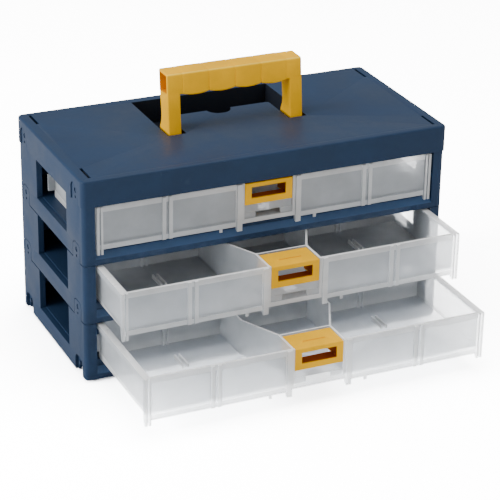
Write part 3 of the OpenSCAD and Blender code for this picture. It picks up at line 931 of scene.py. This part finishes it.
@dataclass
class DrawerFrame:
    """One drawer frame: its walls with their clips and windows, and its deck.

    Attributes:
        level: Which of the three frames it is.
        edge: Width of the edge rounding, in mm, like every size here.
        slope_depth: How far behind the frame's front the front rail's brow reaches.
        slope_z: The brow's foot and top, above the frame's foot.
        slope_lean: How much of a brow face's normal points forward and up.
    """

    level: Level
    edge: float = 0.4
    slope_depth: float = 6.0
    slope_z: Point2 = (6.0, 13.0)
    slope_lean: float = 0.3

    def build(self) -> list[Piece]:
        """Builds and dresses the frame's pieces.

        Returns:
            The pieces.
        """
        word = self.level.word
        finishes = (Finish.NAVY, Finish.NAVY_HIGHLIGHT, Finish.NAVY_LIT_SLOPE)
        walls = softened(f"{word}_frame", "cabinet", self.edge)
        deck = softened(f"{word}_deck", "cabinet", self.edge)
        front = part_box(f"{word}_frame")[0].y
        # The sloping brows get painted light and the rounded edges a painted highlight.
        dress(walls, finishes, lambda face: self._look(face, front), Finish.NAVY_HIGHLIGHT)
        dress(deck, (Finish.NAVY,))
        return [walls, deck]

    def _look(self, face: Face, front: float) -> Finish:
        """Which finish a face of the walls has.

        Args:
            face: The face.
            front: The frame's front, in metres.

        Returns:
            The paler finish, painted light, for the front rail's sloping brow, or else the
            frame's.
        """
        leans = face.normal.y < -self.slope_lean and face.normal.z > self.slope_lean
        height = face.center.z / MM - self.level.value
        near = face.center.y < front + self.slope_depth * MM
        brow = leans and near and self.slope_z[0] < height < self.slope_z[1]
        return Finish.NAVY_LIT_SLOPE if brow else Finish.NAVY


@dataclass
class Handle:
    """The carrying handle: a hollow grip with finger lobes, two waisted legs and their pivots.

    Sizes are in mm about the pivot line, with the handle upright.

    Attributes:
        half: Half of the grip's length.
        front: Front face of the grip and of the legs.
        back: Their rear face.
        top: Top of the grip at its front.
        rise: How much higher the top is at its rear.
        low: Underside of the grip.
        wall: Wall of the hollow grip.
        end_round: Rounding of the grip's ends.
        edges: Rounding of its long edges: upper rear, upper front, lower front, lower rear.
        bore_round: Rounding of the hollow's long edges.
        lobes: Number of finger lobes.
        lobe: Length of a lobe.
        lobe_shares: Where along a lobe the section is drawn.
        end_steps: Where it is drawn near the ends, from the end.
        sag: Depth of a lobe.
        swell: Swell of the front at a lobe's middle.
        swell_shares: The rear's and the top's share of it.
        nick: Depth of the nick between two lobes.
        nick_half: Half of its length.
        leg: Width of a leg.
        leg_profile: Its sections: height, front drawn in by, rear drawn in by.
        leg_inset: Step from the grip's end to a leg's outer face.
        leg_round: Rounding of a leg's edges.
        leg_steps: Segments in that rounding.
        lean: How far the handle leans back at rest, in degrees.
        pivot: Middle of the pivot line, from the middle of the cabinet's foot.
        pivot_r: Radius of a pivot.
        pivot_root: Where a pivot starts, from the grip's end inwards.
        pivot_end: Where it ends.
        pivot_chamfer: Chamfer at its end.
        pivot_sides: Sides of its circle.
        sharp_deg: Edges that bend more than this many degrees stay sharp.
        slack: How far outside the hollow its lining may lie.
        brow_front: How far forward the upper front edge's normal leans, for its painted highlight.
        brow_up: How far up it leans.
    """

    half: float = 75.0
    front: float = -12.0
    back: float = 10.0
    top: float = 72.5
    rise: float = 2.2
    low: float = 50.5
    wall: float = 2.0
    end_round: float = 1.2
    edges: tuple[float, ...] = (1.0, 2.4, 1.8, 1.8)
    bore_round: float = 0.8
    lobes: int = 4
    lobe: float = 29.0
    lobe_shares: tuple[float, ...] = (
        0.0, 0.012, 0.03, 0.08, 0.16, 0.27, 0.4, 0.5, 0.6, 0.73, 0.84, 0.92, 0.97, 0.988,
    )
    end_steps: tuple[float, ...] = (0.0, 0.5, 1.2, 2.0, 6.0)
    sag: float = 2.0
    swell: float = 0.35
    swell_shares: Point2 = (0.4, 0.5)
    nick: float = 0.4
    nick_half: float = 0.7
    leg: float = 14.0
    leg_profile: tuple[Point3, ...] = (
        (-8.2, 2.6, 5.2), (-7.6, 1.0, 2.4), (-6.0, 0.1, 0.9), (-3.0, 0.0, -1.4),
        (2.0, 0.0, -2.6), (7.0, 0.0, -3.0), (12.5, 0.0, -3.0), (15.0, 0.0, -2.1),
        (18.0, 0.0, -0.4), (21.0, 0.0, 1.0), (25.0, 0.0, 1.9), (31.0, 0.0, 2.1),
        (40.0, 0.0, 1.5), (47.0, 0.0, 0.9), (51.9, 0.0, 0.7),
    )
    leg_inset: float = 0.05
    leg_round: float = 1.4
    leg_steps: int = 3
    lean: float = 5.5
    pivot: Point3 = (0.0, -2.0, 207.3)
    pivot_r: float = 4.0
    pivot_root: float = 4.0
    pivot_end: float = 83.4
    pivot_chamfer: float = 0.6
    pivot_sides: int = 40
    sharp_deg: float = 40.0
    slack: float = 0.1
    brow_front: float = 0.35
    brow_up: float = 0.3

    def build(self) -> list[Piece]:
        """Builds and dresses the handle.

        Returns:
            The pieces.
        """
        grip = solid(self._grip(), "handle_moulding")
        parts = []
        for side in Side:
            parts.append(solid(self._leg(side.value), "leg"))
            parts.append(solid(self._pivot(side.value), "pivot"))
        piece = joined(grip, parts)
        turn = Matrix.Rotation(math.radians(-self.lean), 4, "X")
        piece.data.transform(Matrix.Translation(self._pivot_place() * MM) @ turn)
        settle(piece, self.sharp_deg)
        enrol(piece, "handle", "handle")
        # The hollow gets painted shade and the upper front edge a painted highlight.
        dress(piece, (Finish.YELLOW, Finish.GLOW, Finish.YELLOW_HIGHLIGHT), self._look)
        return [piece]

    def _pivot_place(self) -> Vector:
        """The middle of the pivot line in the scene, in mm."""
        x, y, z = self.pivot
        return Vector((x, y + BACK, z))

    def _look(self, face: Face) -> Finish:
        """Which finish a face has.

        Args:
            face: The face.

        Returns:
            The deep yellow, painted shade, for what lines the hollow, the bright one, a
            painted highlight, for the grip's rounded upper front edge, or else the handle's.
        """
        # The hollow's lining gets painted shade.
        if self._in_tube(face):
            return Finish.GLOW
        # Faces on the rounded upper front edge get a painted highlight.
        if face.normal.y < -self.brow_front and face.normal.z > self.brow_up:
            return Finish.YELLOW_HIGHLIGHT
        return Finish.YELLOW

    def _in_tube(self, face: Face) -> bool:
        """Whether a face lines the hollow grip.

        Args:
            face: The face.

        Returns:
            Whether it does.
        """
        turn = Matrix.Rotation(math.radians(self.lean), 3, "X")
        point = turn @ (face.center / MM - self._pivot_place())
        front, back = self.front + self.wall - self.slack, self.back - self.wall + self.slack
        low, top = self.low + self.wall - self.slack, self.top + self.rise - self.wall + self.slack
        return front < point.y < back and low < point.z < top

    def _swollen(self, x: float) -> tuple[float, float]:
        """How far the underside sags and the skin swells at a place on the grip.

        Args:
            x: The place across the grip.

        Returns:
            The sag of the underside and the swell of the skin.
        """
        reach = self.lobes * self.lobe / 2
        if abs(x) >= reach:
            return 0.0, 0.0
        share = ((x + reach) / self.lobe) % 1.0
        bow = 4 * share * (1 - share)
        near = min(share, 1 - share) * self.lobe / self.nick_half
        nick = self.nick * max(0.0, 1 - near)
        return self.sag * bow - nick, self.swell * bow ** 0.5 - nick

    def _stations(self) -> list[float]:
        """Lists the places across the grip at which its section is drawn.

        Returns:
            The places, from left to right.
        """
        reach = self.lobes * self.lobe / 2
        left = [-self.half + step for step in self.end_steps]
        right = [self.half - step for step in reversed(self.end_steps)]
        inner = [
            -reach + (i + share) * self.lobe
            for i in range(self.lobes)
            for share in self.lobe_shares
        ]
        return left + inner + [reach] + right

    def _grip(self) -> Draft:
        """Builds the grip, a tube open at both ends.

        Returns:
            The mesh.
        """
        rings = []
        rear, top = self.swell_shares
        for x in self._stations():
            sag, swell = self._swollen(x)
            end = max(0.0, self.end_round - (self.half - abs(x)))
            inset = self.end_round - math.sqrt(max(0.0, self.end_round ** 2 - end * end))
            corners = self._corners(
                inset - swell, inset - rear * swell, inset - top * swell, inset - sag
            )
            rings.append([(x, y, z) for y, z in rounded_outline(corners, self.edges)])
        corners = self._corners(self.wall, self.wall, self.wall, self.wall)
        radii = (self.bore_round,) * len(corners)
        for x in (self.half, -self.half):
            rings.append([(x, y, z) for y, z in rounded_outline(corners, radii)])
        return loft(rings, close=True)

    def _corners(self, front: float, back: float, top: float, low: float) -> tuple[Point2, ...]:
        """Lists the corners of the grip's section.

        Args:
            front: How far the section is drawn in at its front.
            back: The same at its rear.
            top: The same at its top.
            low: The same at its underside.

        Returns:
            The corners: upper rear, upper front, lower front, lower rear.
        """
        slope = self.rise / (self.back - self.front)
        y0, y1 = self.front + front, self.back - back
        return (
            (y1, self.top + slope * (y1 - self.front) - top),
            (y0, self.top + slope * (y0 - self.front) - top),
            (y0, self.low + low),
            (y1, self.low + low),
        )

    def _leg(self, side: int) -> Draft:
        """Builds one leg, waisted behind, with a heel at the lid and a round foot.

        Args:
            side: -1 for the left leg and 1 for the right one.

        Returns:
            The mesh.
        """
        outer, inner = self.half - self.leg_inset, self.half - self.leg
        rings = []
        for z, toe, heel in self.leg_profile:
            y0, y1 = self.front + toe, self.back - heel
            corners = ((outer, y1), (inner, y1), (inner, y0), (outer, y0))
            section = rounded_outline(corners, (self.leg_round,) * len(corners), self.leg_steps)
            rings.append([(side * x, y, z) for x, y in section])
        return loft(rings)

    def _pivot(self, side: int) -> Draft:
        """Builds one pivot, a pin with a chamfered end.

        Args:
            side: -1 for the left pivot and 1 for the right one.

        Returns:
            The mesh.
        """
        r, cut = self.pivot_r, self.pivot_chamfer
        steps = (
            (self.half - self.pivot_root, r), (self.pivot_end - cut, r), (self.pivot_end, r - cut)
        )
        turns = [i * math.tau / self.pivot_sides for i in range(self.pivot_sides)]
        circle = [(math.cos(a), math.sin(a)) for a in turns]
        return loft([[(side * x, q * y, q * z) for y, z in circle] for x, q in steps])


@dataclass
class Drawer:
    """One see-through drawer with its bars, bins and rims.

    Attributes:
        level: Which of the three drawers it is.
        edge: Width of the edge rounding, in mm, like every size here.
        rim: How far below the drawer's top a rim's upper face may lie.
        plate: How far behind the drawer's front a bar's front face may lie.
        clip_z: The divider clips' foot and top, from the drawer's top.
        clip_y: How far behind the drawer's front the clips start.
    """

    level: Level
    edge: float = 0.35
    rim: float = 0.9
    plate: float = 2.5
    clip_z: Point2 = (-38.2, -34.0)
    clip_y: float = 12.0

    def build(self) -> list[Piece]:
        """Builds and dresses the drawer.

        Returns:
            The pieces.
        """
        word = self.level.word
        finishes = (Finish.FROST, Finish.FROST_BAR, Finish.FROST_RIM_AND_HIGHLIGHT)
        piece = softened(f"{word}_drawer", f"{word}_drawer", self.edge)
        low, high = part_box(f"{word}_drawer")
        # Rim tops and rounded edges get the whiter finish, partly a painted highlight.
        dress(piece, finishes, lambda face: self._look(face, low, high), Finish.FROST_RIM_AND_HIGHLIGHT)
        return [piece]

    def _look(self, face: Face, low: Vector, high: Vector) -> Finish:
        """Which finish a face has, by how thick the plastic behind it is; rim tops also get a
        painted highlight.

        Args:
            face: The face.
            low: The drawer's lowest corner, in metres.
            high: The drawer's highest corner, in metres.

        Returns:
            The finish.
        """
        if face.normal.z > FACING and face.center.z > high.z - self.rim * MM:
            return Finish.FROST_RIM_AND_HIGHLIGHT
        if face.normal.y < -FACING and face.center.y < low.y + self.plate * MM:
            return Finish.FROST_BAR
        drop = (face.center.z - high.z) / MM
        if self.clip_z[0] < drop < self.clip_z[1] and face.center.y > low.y + self.clip_y * MM:
            return Finish.FROST_BAR
        return Finish.FROST


@dataclass
class PullLatch:
    """One pull latch with its pins and its leaf spring.

    Attributes:
        level: Which of the three latches it is.
        edge: Width of the edge rounding, in mm, like every size here.
        skin: How far inside the latch's box its inner faces start.
        ridge: Height of the catch ridge on the latch's top.
    """

    level: Level
    edge: float = 0.5
    skin: float = 1.2
    ridge: float = 1.0

    def build(self) -> list[Piece]:
        """Builds and dresses the latch.

        Returns:
            The pieces.
        """
        word = self.level.word
        finishes = (Finish.YELLOW, Finish.YELLOW_SHADE, Finish.YELLOW_HIGHLIGHT)
        piece = softened(f"{word}_latch", f"{word}_latch", self.edge)
        low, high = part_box(f"{word}_latch")
        # The inside gets painted shade and the rounded edges a painted highlight.
        dress(piece, finishes, lambda face: self._look(face, low, high), Finish.YELLOW_HIGHLIGHT)
        steels = [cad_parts[f"{word}_latch_{part}"] for part in ("pins", "spring")]
        for steel in steels:
            dress(steel, (Finish.STEEL,))
        return [piece, *steels]

    def _look(self, face: Face, low: Vector, high: Vector) -> Finish:
        """Which finish a face of the latch has.

        Args:
            face: The face.
            low: The latch's lowest corner, in metres.
            high: The latch's highest corner, in metres.

        Returns:
            The darker finish, painted shade, for what lies inside the latch, or else the latch's.
        """
        d = self.skin * MM
        x, y, z = face.center
        across = low.x + d < x < high.x - d and y > low.y + d
        inside = across and low.z + d < z < high.z - self.ridge * MM - d
        # What lies inside the latch gets painted shade.
        return Finish.YELLOW_SHADE if inside else Finish.YELLOW


@dataclass
class FootPads:
    """The four foot pads under the lowest frame.

    Attributes:
        edge: Width of the edge rounding, in mm.
    """

    edge: float = 0.5

    def build(self) -> list[Piece]:
        """Builds and dresses the pads.

        Returns:
            The pieces.
        """
        pads = []
        for end in ("front", "rear"):
            for side in Side:
                node = f"foot_{end}_{side.name.lower()}"
                pad = softened(node, "cabinet", self.edge)
                dress(pad, (Finish.PAD,))
                pads.append(pad)
        return pads


# ---- studio


@dataclass
class Studio:
    """The pale floor, the soft lights and the camera.

    Attributes:
        eye: The camera's place, in mm from the middle of the cabinet's foot.
        azimuth: How far it looks to the right, in degrees.
        elevation: How far it looks down, in degrees.
        roll: Its turn about its line of sight, in degrees.
        lens: Its focal length, in mm.
        sensor: Width of its sensor, in mm.
        far: How far it sees, in metres.
        floor_half: Half of the floor's width, in metres.
        paper: Brightness of the floor as it lights the cabinet.
        sky: Strength of the even surround as it lights the cabinet.
        shown: Brightness of both to the eye.
        aim: Where the lamps point, in metres.
        lamps: Each lamp's name, place and size in metres, and power in watts.
    """

    eye: Point3 = (-793.7, -1769.7, 975.1)
    azimuth: float = 24.79
    elevation: float = 24.98
    roll: float = 1.034
    lens: float = 144.94
    sensor: float = 36.0
    far: float = 50.0
    floor_half: float = 9.0
    paper: float = 0.85
    sky: float = 0.55
    shown: float = 11.0
    aim: Point3 = (0.0, 0.0, 0.12)
    lamps: tuple[tuple[str, Point3, float, float], ...] = (
        ("key", (-2.4, 0.2, 0.95), 1.4, 60.0),
        ("top", (0.2, 0.1, 2.4), 1.6, 34.0),
        ("fill", (0.5, -2.3, 1.1), 1.6, 8.5),
    )

    def build(self) -> None:
        """Builds the whole studio."""
        self._floor()
        self._lights()
        self._camera()

    def _floor(self) -> None:
        """Lays the floor."""
        h = self.floor_half
        mesh = bpy.data.meshes.new("floor")
        mesh.from_pydata([(-h, -h, 0), (h, -h, 0), (h, h, 0), (-h, h, 0)], [], [(0, 1, 2, 3)])
        floor = link(mesh, "floor")
        material, g, shader = start_material("floor_paper")
        paper = g.add("ShaderNodeBsdfDiffuse")
        colour = tint(g, (self.paper,) * 3, (self.shown,) * 3, self._seen(g))
        g.wire(colour, paper.inputs["Color"])
        g.tree.nodes.remove(shader)
        g.wire(paper.outputs["BSDF"], g.tree.nodes["Material Output"].inputs["Surface"])
        floor.data.materials.append(material)

    @staticmethod
    def _seen(g: Graph) -> Socket:
        """Masks the rays that come from the eye, straight or through clear plastic.

        A ray that already bounced off something dull isn't one of them.

        Args:
            g: The graph of the floor's or the surround's material.

        Returns:
            The mask's socket.
        """
        path = g.add("ShaderNodeLightPath")
        either = g.maths(
            "MAXIMUM", path.outputs["Is Camera Ray"], path.outputs["Is Transmission Ray"]
        )
        first = g.add("ShaderNodeMath", operation="LESS_THAN")
        first.inputs[1].default_value = NO_BOUNCE
        g.wire(path.outputs["Diffuse Depth"], first.inputs[0])
        return g.maths("MULTIPLY", either, first.outputs[0])

    def _lights(self) -> None:
        """Hangs the soft lights and sets the even surround."""
        world = bpy.data.worlds.new("surround")
        bpy.context.scene.world = world
        world.use_nodes = True
        back = world.node_tree.nodes["Background"]
        back.inputs["Color"].default_value = (1.0, 1.0, 1.0, 1.0)
        g = Graph(world.node_tree)
        g.wire(g.blend(self.sky, self.shown, self._seen(g)), back.inputs["Strength"])
        for name, place, size, power in self.lamps:
            lamp = bpy.data.lights.new(name, "AREA")
            lamp.size = size
            lamp.energy = power
            obj = bpy.data.objects.new(name, lamp)
            bpy.context.scene.collection.objects.link(obj)
            obj.location = place
            sight = Vector(self.aim) - obj.location
            obj.rotation_euler = sight.to_track_quat("-Z", "Y").to_euler()

    def _camera(self) -> None:
        """Sets the camera at the photograph's viewpoint."""
        az, el, roll = (math.radians(a) for a in (self.azimuth, self.elevation, self.roll))
        ahead = Vector((math.sin(az) * math.cos(el), math.cos(az) * math.cos(el), -math.sin(el)))
        right = Vector((math.cos(az), -math.sin(az), 0.0))
        up = right.cross(ahead)
        side = math.cos(roll) * right + math.sin(roll) * up
        top = -math.sin(roll) * right + math.cos(roll) * up
        lens = bpy.data.cameras.new("camera")
        lens.lens = self.lens
        lens.sensor_width = self.sensor
        lens.sensor_fit = "HORIZONTAL"
        lens.clip_end = self.far
        camera = bpy.data.objects.new("camera", lens)
        bpy.context.scene.collection.objects.link(camera)
        x, y, z = self.eye
        turn = Matrix((side, top, -ahead)).transposed().to_4x4()
        camera.matrix_world = Matrix.Translation(Vector((x, y + BACK, z)) * MM) @ turn
        bpy.context.scene.camera = camera


def main() -> None:
    """Builds the cabinet's looks and the studio, and reports each piece."""
    logging.basicConfig(level=logging.INFO, format="%(name)s: %(message)s")
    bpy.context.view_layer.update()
    parts: list[SubAssembly] = [Lid(), Handle(), FootPads()]
    for level in Level:
        parts += [DrawerFrame(level), Drawer(level), PullLatch(level)]
    for part in parts:
        for piece in part.build():
            LOG.info("%s: %d faces", piece.name, len(piece.data.polygons))
    Studio().build()
    bpy.context.view_layer.update()


if __name__ == "__main__":
    main()
